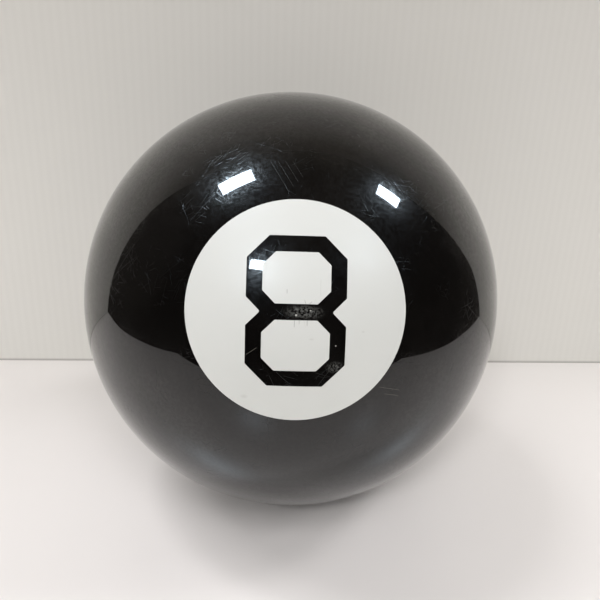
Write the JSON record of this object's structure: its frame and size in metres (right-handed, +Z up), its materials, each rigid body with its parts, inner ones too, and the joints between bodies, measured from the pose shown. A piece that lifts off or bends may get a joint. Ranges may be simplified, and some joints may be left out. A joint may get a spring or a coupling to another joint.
{
  "type": "eight ball",
  "caption": "Gloss black ball with a white round patch and an octagonal numeral, in a layered cover, core and weight block build.",
  "frame": {"origin": "the ball's centre", "axes": "+Z is up as the ball rests, with the weight block and locator pin at the bottom; -Y is the side the front number faces, tipped up 18.5 degrees; +X is to the right of someone reading it"},
  "size_m": [0.217, 0.2172, 0.217],
  "materials": {
    "black_polyester": "polished",
    "white_film": "satin",
    "core_filler": "matte",
    "block_resin": "satin",
    "pin_resin": "polished"
  },
  "bodies": {
    "root": {"cover_shell": "black_polyester", "inner_core": "core_filler", "weight_block": "block_resin", "locator_pin": "pin_resin", "number_disc_front": "white_film", "upper_counter_front": "white_film", "lower_counter_front": "white_film", "number_disc_back": "white_film", "upper_counter_back": "white_film", "lower_counter_back": "white_film"}
  },
  "joints": []
}
